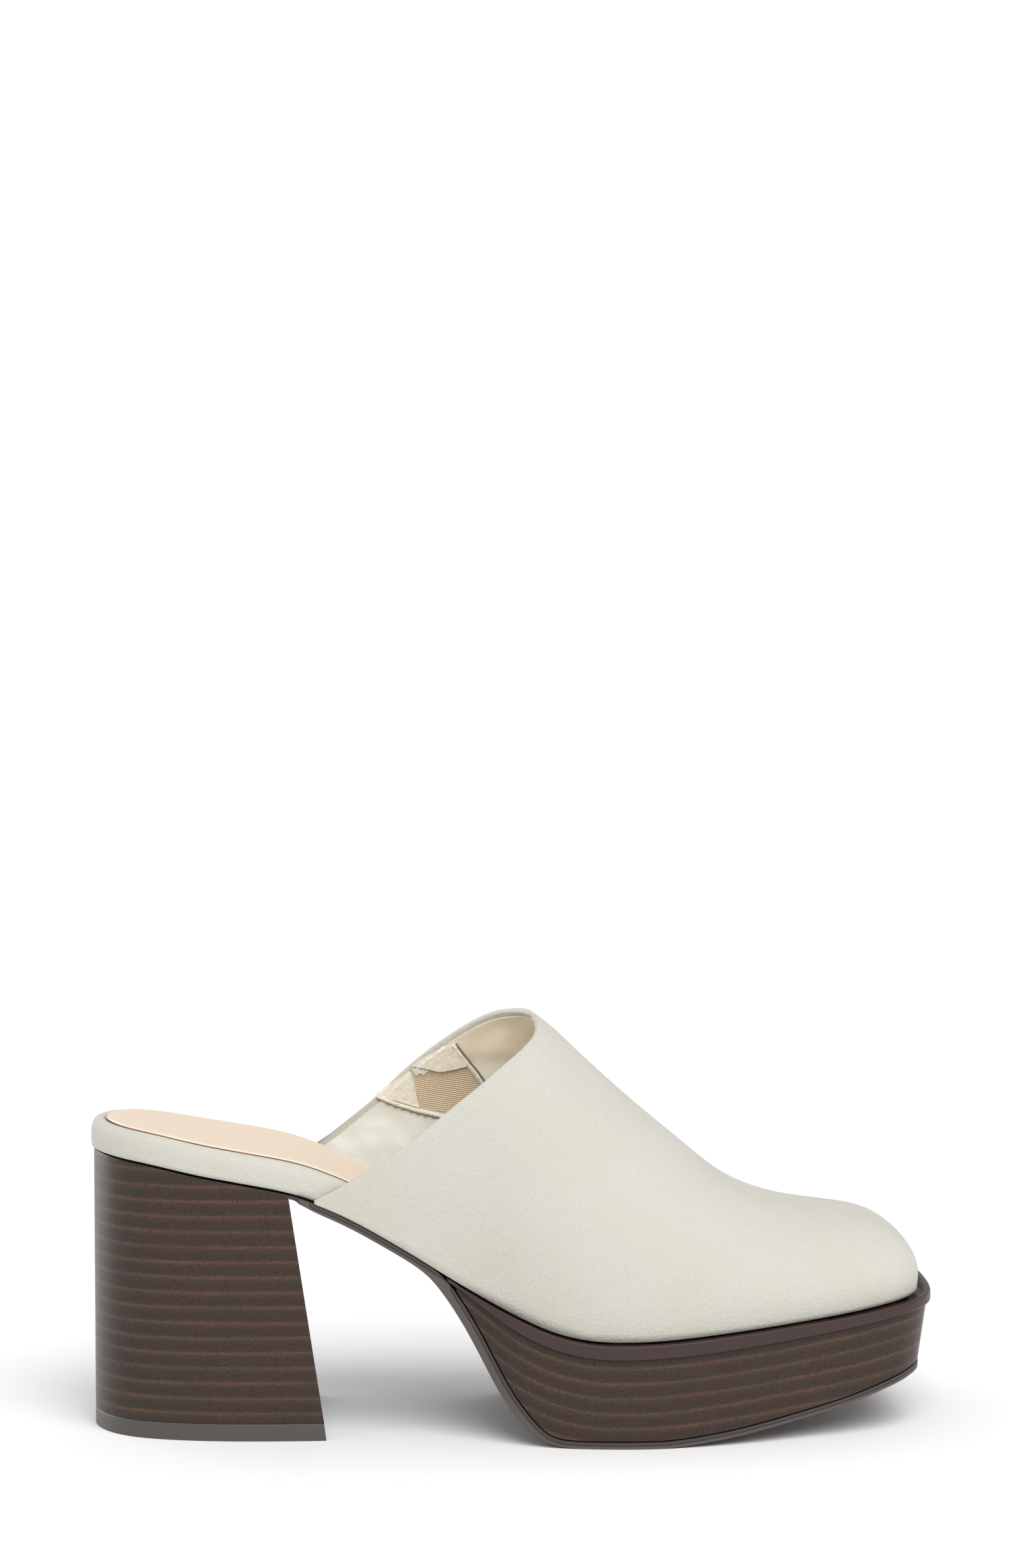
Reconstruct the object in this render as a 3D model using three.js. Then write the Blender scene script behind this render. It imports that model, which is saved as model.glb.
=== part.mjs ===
// A closed-toe platform mule with a block heel, for the right foot, in millimetres.
// +X points to the toe, -Y to the outer side of the foot and +Z up. It stands on Z = 0.

import * as THREE from "three";
import { mergeVertices } from "three/addons/utils/BufferGeometryUtils.js";

// Driving dimensions
const SHOE_LENGTH = 243.2; // from the back of the footbed to the front of the rim
const BOARD_WIDTH = 86; // across the footbed board at the ball, on the slant of the toe joints
const SEAT_HEIGHT = 81; // floor to the underside of the footbed, at the back of the heel
const PLATFORM_HEIGHT = 30; // floor to the underside of the footbed, at the ball
const TOE_LIFT = 8.3; // rise of the footbed from the ball to the toe
const TOE_SPRING = 16.4; // rise of the sole off the floor at the toe
const INSTEP_HEIGHT = 88; // crown of the upper at its collar, above the platform

const WALL = 2; // upper, with its lining and folded edge
const FOOTBED_HEEL = 8.7; // wrapped footbed under the heel
const FOOTBED_TOE = 4.5; // wrapped footbed under the toes
const SOCK = 1.2;
const SOCK_ROUNDING = 0.5; // of its upper edge
const SOCK_MARGIN = 4.4; // edge of the footbed to the edge of the sock
const SOCK_SINK = 1; // how deep the sock lies in the footbed

const RIM = 4; // height of the rim round the platform's top
const RIM_TAIL = 1; // its height where it begins, at the waist
const RIM_TOE = 3.2; // its height at the toe
const RIM_LEDGE = 3.5; // how far it stands out beyond the upper's sides
const TOE_LEDGE = 4; // how far it stands out in front of the toe
const RIM_STEP = 1.2; // how far the platform's side lies back under it
const SIDE_DRAFT = 1; // how far the platform's sides lean in, top to bottom
const TOE_DRAFT = 2.4; // how far its toe leans in

const OUTSOLE = 2;
const OUTSOLE_TUCK = 0.8; // thinner where its end is tucked in at the heel
const OUTSOLE_BACK = 3.2; // thicker where it comes down the back of the platform
const OUTSOLE_MARGIN = 0.6; // how far it lies back from the upper's side at the shank

const HEEL_TOP_LENGTH = 55.8; // heel block along the footbed
const HEEL_FOOT_LENGTH = 66.3; // heel block along the floor
const HEEL_MARGIN = 0.8; // how far the block lies in from the footbed's edge
const HEEL_FOOT_MARGIN = 0.6; // the same at the floor
const TOP_PIECE = 5; // rubber under the heel block

const TOE_REACH = 26; // toe tip back to the crown that the toe box rounds from
const TOE_FLAT = 3; // depth of the toe's front that turns about that one crown
const ROW_LEAN = 9; // how far the instep's rows run forward on the outer side
const FOOT_BAND = 0.5; // height of the upper's lower edge that is kept square
const BULGE = 1.4; // how far the upper swells beyond its lower edge

const GAP = 0.3; // between pieces that meet

// Number of sections along and of steps across each form
const SHANK_SECTIONS = 10;
const BACK_SECTIONS = 14;
const TREAD_SECTIONS = 36;
const RIM_SECTIONS = 44;
const FOOTBED_SECTIONS = 48;
const HEEL_SECTIONS = 20;
const COLLAR_ROWS = 17;
const VAMP_ROWS = 22;
const TOE_ROWS = 5;
const ROW_STEPS = 12;

// Where thicknesses change, as shares along the board
const FOOTBED_THINS = { from: 0.36, to: 0.56 };
const TUCK_END = 0.27;
const BACK_THICKENS = { from: 0.38, to: 0.42 };
const BACK_THINS = { from: 0.5, to: 0.55 };
const RIM_GROWS = { from: 0.424, to: 0.52 };
const RIM_THINS = { from: 0.7, to: 1 };

const BOARD_LENGTH = SHOE_LENGTH - WALL - GAP - TOE_LEDGE;
const HEEL_BACK = -SHOE_LENGTH / 2;
const OUTER = -1;
const INNER = 1;

// Footbed board seen from above. along: share of its length from the heel back.
// outer and inner: sideways shares of BOARD_WIDTH.
const OUTLINE = [
  { along: 0.0, outer: 0.0, inner: 0.0 },
  { along: 0.04, outer: -0.232, inner: 0.228 },
  { along: 0.11, outer: -0.312, inner: 0.298 },
  { along: 0.2, outer: -0.343, inner: 0.316 },
  { along: 0.33, outer: -0.347, inner: 0.272 },
  { along: 0.45, outer: -0.378, inner: 0.24 },
  { along: 0.55, outer: -0.462, inner: 0.296 },
  { along: 0.64, outer: -0.502, inner: 0.388 },
  { along: 0.75, outer: -0.48, inner: 0.452 },
  { along: 0.86, outer: -0.412, inner: 0.426 },
  { along: 0.94, outer: -0.352, inner: 0.362 },
  { along: 0.98, outer: -0.288, inner: 0.302 },
  { along: 0.995, outer: -0.205, inner: 0.22 },
  { along: 1.0, outer: 0.03, inner: 0.03 },
];

// Underside of the footbed from the side. drop: share of the heel's rise over the ball.
// lift: share of TOE_LIFT.
const SEAT = [
  { along: 0.0, drop: 1.0, lift: 0 },
  { along: 0.07, drop: 0.955, lift: 0 },
  { along: 0.13, drop: 0.897, lift: 0 },
  { along: 0.19, drop: 0.846, lift: 0 },
  { along: 0.24, drop: 0.797, lift: 0 },
  { along: 0.29, drop: 0.705, lift: 0 },
  { along: 0.37, drop: 0.5, lift: 0 },
  { along: 0.45, drop: 0.27, lift: 0 },
  { along: 0.5, drop: 0.146, lift: 0 },
  { along: 0.55, drop: 0.048, lift: 0 },
  { along: 0.6, drop: 0.003, lift: 0 },
  { along: 0.66, drop: 0.0, lift: 0.02 },
  { along: 0.78, drop: 0.0, lift: 0.27 },
  { along: 0.9, drop: 0.0, lift: 0.6 },
  { along: 1.0, drop: 0.0, lift: 1.0 },
];

// Underside of the outsole from the side. down: share of the way from the footbed to the
// floor. spring: share of TOE_SPRING.
const SOLE = [
  { along: 0.236, down: 0.0, spring: 0 },
  { along: 0.38, down: 0.0, spring: 0 },
  { along: 0.405, down: 0.02, spring: 0 },
  { along: 0.422, down: 0.08, spring: 0 },
  { along: 0.443, down: 0.2, spring: 0 },
  { along: 0.464, down: 0.38, spring: 0 },
  { along: 0.485, down: 0.595, spring: 0 },
  { along: 0.508, down: 0.785, spring: 0 },
  { along: 0.53, down: 0.915, spring: 0 },
  { along: 0.553, down: 0.982, spring: 0 },
  { along: 0.575, down: 1.0, spring: 0 },
  { along: 0.68, down: 1.0, spring: 0 },
  { along: 0.75, down: 1.0, spring: 0.11 },
  { along: 0.82, down: 1.0, spring: 0.29 },
  { along: 0.9, down: 1.0, spring: 0.54 },
  { along: 1.0, down: 1.0, spring: 0.97 },
];

// The upper over the last. crown: its ridge, a share of INSTEP_HEIGHT over the platform.
// ridge: where that lies across, a share of BOARD_WIDTH. square: 2 is a round cross
// section, and more is a boxier one.
const LAST = [
  { along: 0.24, crown: 1.17, ridge: 0.0, square: 3.0 },
  { along: 0.4, crown: 1.105, ridge: 0.01, square: 2.8 },
  { along: 0.5, crown: 1.046, ridge: 0.03, square: 2.3 },
  { along: 0.55, crown: 0.983, ridge: 0.04, square: 2.15 },
  { along: 0.6, crown: 0.854, ridge: 0.05, square: 2.1 },
  { along: 0.66, crown: 0.706, ridge: 0.05, square: 2.15 },
  { along: 0.72, crown: 0.569, ridge: 0.05, square: 2.3 },
  { along: 0.78, crown: 0.438, ridge: 0.05, square: 2.45 },
  { along: 0.84, crown: 0.37, ridge: 0.045, square: 2.6 },
  { along: 0.9, crown: 0.342, ridge: 0.04, square: 2.75 },
  { along: 1.0, crown: 0.322, ridge: 0.035, square: 2.8 },
];

// The collar's edge. rise: how far up its row of the last. outer and inner: share along
// the board where that row starts.
const COLLAR = [
  { rise: 0.012, outer: 0.266, inner: 0.243 },
  { rise: 0.15, outer: 0.306, inner: 0.281 },
  { rise: 0.3, outer: 0.346, inner: 0.316 },
  { rise: 0.45, outer: 0.388, inner: 0.35 },
  { rise: 0.6, outer: 0.43, inner: 0.381 },
  { rise: 0.72, outer: 0.472, inner: 0.41 },
  { rise: 0.82, outer: 0.508, inner: 0.439 },
  { rise: 0.9, outer: 0.539, inner: 0.465 },
  { rise: 0.96, outer: 0.561, inner: 0.488 },
];
const COLLAR_CROWN = 0.541; // share along the board of the ridge point where the sides join

// Wrapped edge of the footbed, up its side and over into the hollow that the sock lies in.
// inset: share of SOCK_MARGIN. rise: share of the footbed's thickness.
const FOOTBED_EDGE = [
  { inset: 0.06, rise: 0.0 },
  { inset: 0.0, rise: 0.12 },
  { inset: 0.0, rise: 0.62 },
  { inset: 0.17, rise: 0.87 },
  { inset: 0.52, rise: 1.0 },
  { inset: 0.84, rise: 0.98 },
];

// Rounded outer edge of the rim. inset: share of RIM_STEP. rise: share of its height.
const RIM_EDGE = [
  { inset: 0.3, rise: 0.0 },
  { inset: 0.0, rise: 0.1 },
  { inset: 0.0, rise: 0.78 },
  { inset: 0.12, rise: 0.93 },
  { inset: 0.45, rise: 1.0 },
];

// Smooth curve through one column of a table, with the table's ends drawn on straight.
function smooth(rows, key, column) {
  const at = rows.map((row) => row[key]);
  const value = rows.map((row) => row[column]);
  const last = at.length - 1;
  const step = at.slice(1).map((t, i) => t - at[i]);
  const rate = step.map((width, i) => (value[i + 1] - value[i]) / width);
  const slope = at.map((_, i) => {
    if (i === 0) return rate[0];
    if (i === last) return rate[last - 1];
    return (rate[i - 1] * step[i] + rate[i] * step[i - 1]) / (step[i - 1] + step[i]);
  });
  return (t) => {
    if (t <= at[0]) return value[0] + slope[0] * (t - at[0]);
    if (t >= at[last]) return value[last] + slope[last] * (t - at[last]);
    const i = at.findIndex((start, k) => t >= start && t < at[k + 1]);
    const s = (t - at[i]) / step[i];
    const ease = s * s * (3 - 2 * s);
    const enter = s * (1 - s) * (1 - s) * step[i];
    const leave = s * s * (s - 1) * step[i];
    return value[i] + ease * (value[i + 1] - value[i]) + enter * slope[i] + leave * slope[i + 1];
  };
}

// The value between low and high where a rising function reaches a wanted level.
function whereReaches(rising, wanted, low, high) {
  let from = low;
  let to = high;
  for (let halving = 0; halving < 40; halving += 1) {
    const middle = (from + to) / 2;
    if (rising(middle) < wanted) from = middle;
    else to = middle;
  }
  return (from + to) / 2;
}

// Places along the board are turned into an angle, 0 at the heel back and PI at the toe,
// so that even steps of it lie close together round both ends.
const alongToTurn = (along) => Math.acos(1 - 2 * along);
const turnToX = (turn) => HEEL_BACK + (BOARD_LENGTH * (1 - Math.cos(turn))) / 2;
const alongToX = (along) => HEEL_BACK + BOARD_LENGTH * along;
const xToAlong = (x) => (x - HEEL_BACK) / BOARD_LENGTH;
const TURNED_OUTLINE = OUTLINE.map((row) => ({ ...row, turn: alongToTurn(row.along) }));
const sideShare = {
  [OUTER]: smooth(TURNED_OUTLINE, "turn", "outer"),
  [INNER]: smooth(TURNED_OUTLINE, "turn", "inner"),
};

const drop = smooth(SEAT, "along", "drop");
const lift = smooth(SEAT, "along", "lift");
const down = smooth(SOLE, "along", "down");
const spring = smooth(SOLE, "along", "spring");
const crownShare = smooth(LAST, "along", "crown");
const ridgeShare = smooth(LAST, "along", "ridge");
const squareness = smooth(LAST, "along", "square");

// A point of the board's outline, moved outwards by a distance, and its way outwards.
function edge(side, turn, outwards = 0) {
  const y = BOARD_WIDTH * sideShare[side](turn);
  const x = turnToX(turn);
  const nudge = 1e-3;
  const out = new THREE.Vector2(turn < 1 ? -1 : 1, 0);
  if (turn > nudge && turn < Math.PI - nudge) {
    const dx = turnToX(turn + nudge) - turnToX(turn - nudge);
    const dy = BOARD_WIDTH * (sideShare[side](turn + nudge) - sideShare[side](turn - nudge));
    out.set(-side * dy, side * dx).normalize();
  }
  return { x: x + out.x * outwards, y: y + out.y * outwards, out };
}

// Height of the footbed's underside, where everything below the foot comes up to.
function seat(x) {
  const along = xToAlong(x);
  const heel = (SEAT_HEIGHT - PLATFORM_HEIGHT) * Math.max(drop(along), 0);
  return PLATFORM_HEIGHT + heel + TOE_LIFT * Math.max(lift(along), 0);
}

// How much longer a thickness is upright than square to a sloping line.
const slopeOf = (height, x) => height(x + 0.5) - height(x - 0.5);
const slant = (height, x) => Math.hypot(1, slopeOf(height, x));

// How far a change between two shares along the board has gone at x, from 0 to 1.
const change = (x, { from, to }) => THREE.MathUtils.smoothstep(xToAlong(x), from, to);

function footbedThickness(x) {
  const thickness = THREE.MathUtils.lerp(FOOTBED_HEEL, FOOTBED_TOE, change(x, FOOTBED_THINS));
  return thickness * slant(seat, x);
}

const SHANK_START = (HEEL_TOP_LENGTH + GAP) / BOARD_LENGTH; // where the outsole leaves the heel
function outsoleThickness(x) {
  const tuck = 1 - change(x, { from: SHANK_START, to: TUCK_END });
  const back = change(x, BACK_THICKENS) - change(x, BACK_THINS);
  return OUTSOLE + (OUTSOLE_BACK - OUTSOLE) * back - (OUTSOLE - OUTSOLE_TUCK) * tuck;
}

function soleLine(x) {
  const along = xToAlong(x);
  const tucked = Math.min(outsoleThickness(x), OUTSOLE);
  const shank = seat(x) - GAP - tucked * slant(seat, x);
  const share = THREE.MathUtils.clamp(down(along), 0, 1);
  return shank * (1 - share) + TOE_SPRING * Math.max(spring(along), 0);
}

// Height at x of a line that runs a distance above the sole line, square to it.
function aboveSole(x, distance) {
  const pushed = (at) => at - (distance(at) * slopeOf(soleLine, at)) / slant(soleLine, at);
  const under = whereReaches(pushed, x, x - 3 * OUTSOLE_BACK, x + OUTSOLE_BACK);
  return soleLine(under) + distance(under) / slant(soleLine, under);
}

// The rim begins at the waist, where the back of the platform starts to come down.
const RIM_START = alongToTurn(RIM_GROWS.from);
const growth = (x) => change(x, RIM_GROWS);
const ledgeFacing = (forward) => THREE.MathUtils.lerp(RIM_LEDGE, TOE_LEDGE, Math.max(forward, 0) ** 2);
const rimLedge = (x, forward) => WALL + GAP + ledgeFacing(forward) * growth(x);
const rimHeight = (x) => RIM_TAIL + (RIM - RIM_TAIL) * growth(x) - (RIM - RIM_TOE) * change(x, RIM_THINS);
const rimUnderside = (x) => seat(x) - GAP - rimHeight(x);

// The outline of the platform or outsole a share of the way down its side.
function soleOut(x, forward, share) {
  const shank = WALL + GAP - OUTSOLE_MARGIN;
  const draft = THREE.MathUtils.lerp(SIDE_DRAFT, TOE_DRAFT, Math.max(forward, 0) ** 2);
  const platform = rimLedge(x, forward) - RIM_STEP - draft * share;
  return THREE.MathUtils.lerp(shank, platform, growth(x));
}

// Triangles collected into one closed solid.
class Skin {
  constructor() {
    this.corners = [];
  }

  triangle(a, b, c) {
    this.corners.push(a, b, c);
  }

  // Two triangles that meet on the shorter diagonal.
  quad(a, b, c, d) {
    if (b.distanceTo(d) < a.distanceTo(c)) {
      this.triangle(a, b, d);
      this.triangle(b, c, d);
    } else {
      this.triangle(a, b, c);
      this.triangle(a, c, d);
    }
  }

  // A band from a lower loop of points to an upper one.
  band(lower, upper) {
    lower.forEach((point, i) => {
      const next = (i + 1) % lower.length;
      this.quad(point, lower[next], upper[next], upper[i]);
    });
  }

  // A face laid across a loop, from its outer side to its inner side.
  across(loop, faceUp) {
    const last = loop.length - 1;
    for (let i = 0; i < (loop.length - 2) / 2; i += 1) {
      const corners = [loop[i], loop[i + 1], loop[last - i - 1], loop[last - i]];
      if (!faceUp) corners.reverse();
      this.quad(...corners);
    }
  }

  // The triangles as shared points, without those that have shrunk to nothing.
  merged() {
    const loose = new THREE.BufferGeometry().setFromPoints(this.corners);
    const joined = mergeVertices(loose, 1e-3);
    const index = joined.index.array;
    const kept = [];
    for (let i = 0; i < index.length; i += 3) {
      const [a, b, c] = index.slice(i, i + 3);
      if (a !== b && b !== c && c !== a) kept.push(a, b, c);
    }
    joined.setIndex(kept);
    joined.computeVertexNormals();
    return joined;
  }
}

// A solid of loops stacked from the lowest to the highest.
function stack(loops) {
  const skin = new Skin();
  skin.across(loops[0], false);
  loops.slice(1).forEach((loop, i) => skin.band(loops[i], loop));
  skin.across(loops[loops.length - 1], true);
  return skin.merged();
}

// Even steps from one number to another.
function steps(from, to, count) {
  return Array.from({ length: count + 1 }, (_, i) => THREE.MathUtils.lerp(from, to, i / count));
}

// A loop that runs forward along the outer side and back along the inner side.
function loop(stations, place) {
  const outer = stations.map((station) => place(OUTER, station));
  const inner = stations.map((station) => place(INNER, station));
  return [...outer, ...inner.reverse()];
}

function outlineLoop(turns, outwards, height) {
  return loop(turns, (side, turn) => {
    const flat = edge(side, turn);
    const { x, y } = edge(side, turn, outwards(flat.x, flat.out.x));
    return new THREE.Vector3(x, y, height(x));
  });
}

// Places for the sole's sections, closest down the steep back of the platform.
const BACK_TOP = alongToTurn(0.4);
const BACK_FOOT = alongToTurn(0.565);
const backTurns = (first) => steps(first, BACK_FOOT, BACK_SECTIONS);
const treadTurns = steps(BACK_FOOT, Math.PI, TREAD_SECTIONS).slice(1);

// Top of the outsole: its own thickness, but no higher than what lies on it.
const RIM_APPROACH = 3; // how far behind the rim the sole starts to make room for it
function outsoleTop(x) {
  const nearness = (x - turnToX(RIM_START) + RIM_APPROACH) / RIM_APPROACH;
  const rim = (rimHeight(x) + GAP) * THREE.MathUtils.clamp(nearness, 0, 1);
  return Math.min(aboveSole(x, outsoleThickness), seat(x) - GAP - rim);
}

function outsole() {
  const shankTurns = steps(alongToTurn(SHANK_START), BACK_TOP, SHANK_SECTIONS).slice(0, -1);
  const turns = [...shankTurns, ...backTurns(BACK_TOP), ...treadTurns];
  const outwards = (x, forward) => soleOut(x, forward, 1);
  return stack([
    outlineLoop(turns, outwards, soleLine),
    outlineLoop(turns, outwards, outsoleTop),
  ]);
}

function platform() {
  const foot = (x) => aboveSole(x, (at) => outsoleThickness(at) + GAP);
  const head = (x) => rimUnderside(x) - GAP;
  const start = whereReaches((x) => head(x) - foot(x), RIM_TAIL, turnToX(BACK_TOP), turnToX(BACK_FOOT));
  const turns = [...backTurns(alongToTurn(xToAlong(start))), ...treadTurns];
  return stack([
    outlineLoop(turns, (x, forward) => soleOut(x, forward, 1), foot),
    outlineLoop(turns, (x, forward) => soleOut(x, forward, 0), head),
  ]);
}

function platformRim() {
  const turns = steps(RIM_START, Math.PI, RIM_SECTIONS);
  return stack(
    RIM_EDGE.map(({ inset, rise }) =>
      outlineLoop(
        turns,
        (x, forward) => rimLedge(x, forward) - RIM_STEP * inset * growth(x),
        (x) => rimUnderside(x) + rimHeight(x) * rise,
      ),
    ),
  );
}

// The heel block's D-shaped outline, at the footbed and at the floor.
function heelLoop(share, height) {
  const turns = steps(0, Math.PI / 2, HEEL_SECTIONS);
  const spread = (length) => alongToTurn(length / BOARD_LENGTH) / (Math.PI / 2);
  return loop(turns, (side, turn) => {
    const top = edge(side, turn * spread(HEEL_TOP_LENGTH), -HEEL_MARGIN);
    const foot = edge(side, turn * spread(HEEL_TOP_LENGTH), -HEEL_FOOT_MARGIN);
    const stretch = (HEEL_FOOT_LENGTH - HEEL_FOOT_MARGIN) / (HEEL_TOP_LENGTH - HEEL_FOOT_MARGIN);
    const footX = HEEL_BACK + (foot.x - HEEL_BACK) * stretch;
    const x = THREE.MathUtils.lerp(footX, top.x, share);
    const y = THREE.MathUtils.lerp(foot.y, top.y, share);
    return new THREE.Vector3(x, y, height(top.x));
  });
}

function heelBlock() {
  const foot = TOP_PIECE / SEAT_HEIGHT;
  return stack([heelLoop(foot, () => TOP_PIECE), heelLoop(1, (x) => seat(x) - GAP)]);
}

function heelTopPiece() {
  const top = TOP_PIECE - GAP;
  return stack([heelLoop(0, () => 0), heelLoop(top / SEAT_HEIGHT, () => top)]);
}

function footbed() {
  const turns = steps(0, Math.PI, FOOTBED_SECTIONS);
  const loops = FOOTBED_EDGE.map(({ inset, rise }) =>
    outlineLoop(
      turns,
      () => -SOCK_MARGIN * inset,
      (x) => seat(x) + footbedThickness(x) * rise,
    ),
  );
  const hollow = (x) => seat(x) + footbedThickness(x) - SOCK_SINK;
  return stack([...loops, outlineLoop(turns, () => GAP - SOCK_MARGIN, hollow)]);
}

function insoleSock() {
  const turns = steps(0, Math.PI, FOOTBED_SECTIONS);
  const base = (x) => seat(x) + footbedThickness(x) - SOCK_SINK + GAP;
  return stack([
    outlineLoop(turns, () => -SOCK_MARGIN, base),
    outlineLoop(turns, () => -SOCK_MARGIN, (x) => base(x) + SOCK - SOCK_ROUNDING),
    outlineLoop(turns, () => -SOCK_MARGIN - SOCK_ROUNDING, (x) => base(x) + SOCK),
  ]);
}

// Where a row of the upper reaches the ridge. Rows cross the instep on a slight slant and
// turn round the toe about one crown.
const TOE_TIP = turnToX(Math.PI);
function ridgeX(side, turn) {
  const away = Math.max(TOE_TIP - turnToX(turn) - TOE_FLAT, 0);
  const reach = Math.hypot(TOE_REACH, away);
  return TOE_TIP - reach + side * ROW_LEAN * (1 - TOE_REACH / reach);
}

// A point of the upper's outer face: on the row that starts at a turn of the outline, at an
// angle from 0 at its lower edge to PI / 2 on the ridge.
function upperPoint(side, turn, angle) {
  const foot = edge(side, turn, WALL + GAP);
  const crownX = ridgeX(side, turn);
  const square = squareness(xToAlong(crownX));
  const rise = Math.sin(angle) ** (2 / square);
  const inward = 1 - Math.max(Math.cos(angle), 0) ** (2 / square);
  const swell = BULGE * Math.sin(Math.PI * rise) * (1 - rise);
  const crownY = BOARD_WIDTH * ridgeShare(xToAlong(crownX));
  const x = THREE.MathUtils.lerp(foot.x, crownX, inward) + foot.out.x * swell;
  const y = THREE.MathUtils.lerp(foot.y, crownY, inward) + foot.out.y * swell;
  const low = seat(foot.x);
  const high = PLATFORM_HEIGHT + INSTEP_HEIGHT * crownShare(xToAlong(x));
  return new THREE.Vector3(x, y, THREE.MathUtils.lerp(low, high, rise));
}

// The rows of one side, from the end of the collar to the toe tip, as a grid of points.
// Behind the crown the rows lean forward up to the collar, so that they stay apart there.
function upperRows(side) {
  const name = side === OUTER ? "outer" : "inner";
  const crownX = alongToX(COLLAR_CROWN);
  const meets = whereReaches((turn) => ridgeX(side, turn), crownX, 0, Math.PI);
  const table = [...COLLAR, { rise: 1, [name]: xToAlong(turnToX(meets)) }];
  const start = smooth(table, "rise", name);
  const feet = steps(alongToTurn(start(COLLAR[0].rise)), meets, COLLAR_ROWS);
  const collar = steps(0, Math.PI / 2, COLLAR_ROWS).map((quarter, i) => {
    const rise = THREE.MathUtils.lerp(COLLAR[0].rise, 1, Math.sin(quarter));
    const topTurn = alongToTurn(start(rise));
    const square = squareness(xToAlong(ridgeX(side, topTurn)));
    return { turn: feet[i], topTurn, top: Math.asin(Math.min(rise, 1) ** (square / 2)) };
  });
  const fan = alongToTurn(1 - TOE_FLAT / BOARD_LENGTH);
  const outerMeets = whereReaches((turn) => ridgeX(OUTER, turn), crownX, 0, Math.PI);
  const vamp = steps(outerMeets, fan, VAMP_ROWS)
    .slice(1)
    .map((outerTurn) => {
      const reach = ridgeX(OUTER, outerTurn);
      return whereReaches((turn) => ridgeX(side, turn), reach, 0, fan);
    });
  const toe = steps(fan, Math.PI, TOE_ROWS).slice(1);
  const whole = [...vamp, ...toe].map((turn) => ({ turn, topTurn: turn, top: Math.PI / 2 }));
  return [...collar, ...whole].map(({ turn, topTurn, top }) =>
    steps(0, 1, ROW_STEPS).map((share) =>
      upperPoint(side, THREE.MathUtils.lerp(turn, topTurn, share), top * share),
    ),
  );
}

// The outer face of both sides, given its wall towards the inside.
function upper() {
  const face = new Skin();
  [OUTER, INNER].forEach((side) => {
    const rows = upperRows(side);
    rows.slice(1).forEach((row, i) => {
      for (let j = 0; j < ROW_STEPS; j += 1) {
        const corners = [rows[i][j], row[j], row[j + 1], rows[i][j + 1]];
        if (side === INNER) corners.reverse();
        face.quad(...corners);
      }
    });
  });
  return thickened(face.merged(), WALL, (point) => point.z < seat(point.x) + FOOT_BAND);
}

// A face made a wall, closed along its open edges. Where isFoot says that a point is on the
// lower edge, the wall goes straight in, so that its foot stays flat.
function thickened(face, wall, isFoot) {
  const place = face.getAttribute("position");
  const normal = face.getAttribute("normal");
  const outside = [];
  const inside = [];
  for (let i = 0; i < place.count; i += 1) {
    const point = new THREE.Vector3().fromBufferAttribute(place, i);
    const out = new THREE.Vector3().fromBufferAttribute(normal, i);
    if (isFoot(point)) out.setZ(0).normalize();
    outside.push(point);
    inside.push(point.clone().addScaledVector(out, -wall));
  }
  const skin = new Skin();
  const index = face.index.array;
  const open = new Map();
  for (let i = 0; i < index.length; i += 3) {
    const [a, b, c] = index.slice(i, i + 3);
    skin.triangle(outside[a], outside[b], outside[c]);
    skin.triangle(inside[c], inside[b], inside[a]);
    for (const [from, to] of [[a, b], [b, c], [c, a]]) {
      if (!open.delete(to + ">" + from)) open.set(from + ">" + to, [from, to]);
    }
  }
  open.forEach(([from, to]) => skin.quad(outside[to], outside[from], inside[from], inside[to]));
  return skin.merged();
}

// Finishes
const finish = (color, roughness) => new THREE.MeshStandardMaterial({ color, roughness, metalness: 0 });
const IVORY_NUBUCK = finish("#dfdbcd", 0.85);
const BEIGE_SOCK = finish("#ecc9a8", 0.6);
const STACKED_WOOD = finish("#3f2e28", 0.45);
const PLUM_BROWN = finish("#3d2a2c", 0.4);
const GREY_RUBBER = finish("#57504b", 0.65);

const PIECES = [
  ["outsole", outsole, GREY_RUBBER],
  ["platform", platform, STACKED_WOOD],
  ["platform_rim", platformRim, PLUM_BROWN],
  ["heel_block", heelBlock, STACKED_WOOD],
  ["heel_top_piece", heelTopPiece, GREY_RUBBER],
  ["upper", upper, IVORY_NUBUCK],
  ["footbed", footbed, IVORY_NUBUCK],
  ["insole_sock", insoleSock, BEIGE_SOCK],
];

const mule = new THREE.Group();
PIECES.forEach(([name, build, material]) => {
  const mesh = new THREE.Mesh(build(), material);
  mesh.name = name;
  mule.add(mesh);
});

// The origin is on the floor under the middle of the whole shoe.
const extent = new THREE.Box3().setFromObject(mule, true);
const middle = extent.getCenter(new THREE.Vector3());
mule.position.set(-middle.x, -middle.y, -extent.min.z);

export default mule;
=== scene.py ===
# A platform mule for the right foot: an off-white faux nubuck upper and wrapped footbed on a
# platform and block heel in a stacked-wood look, empty on a pale floor. Units are metres.
import math

import bmesh
import bpy
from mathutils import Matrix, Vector, kdtree
from mathutils.bvhtree import BVHTree


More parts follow.
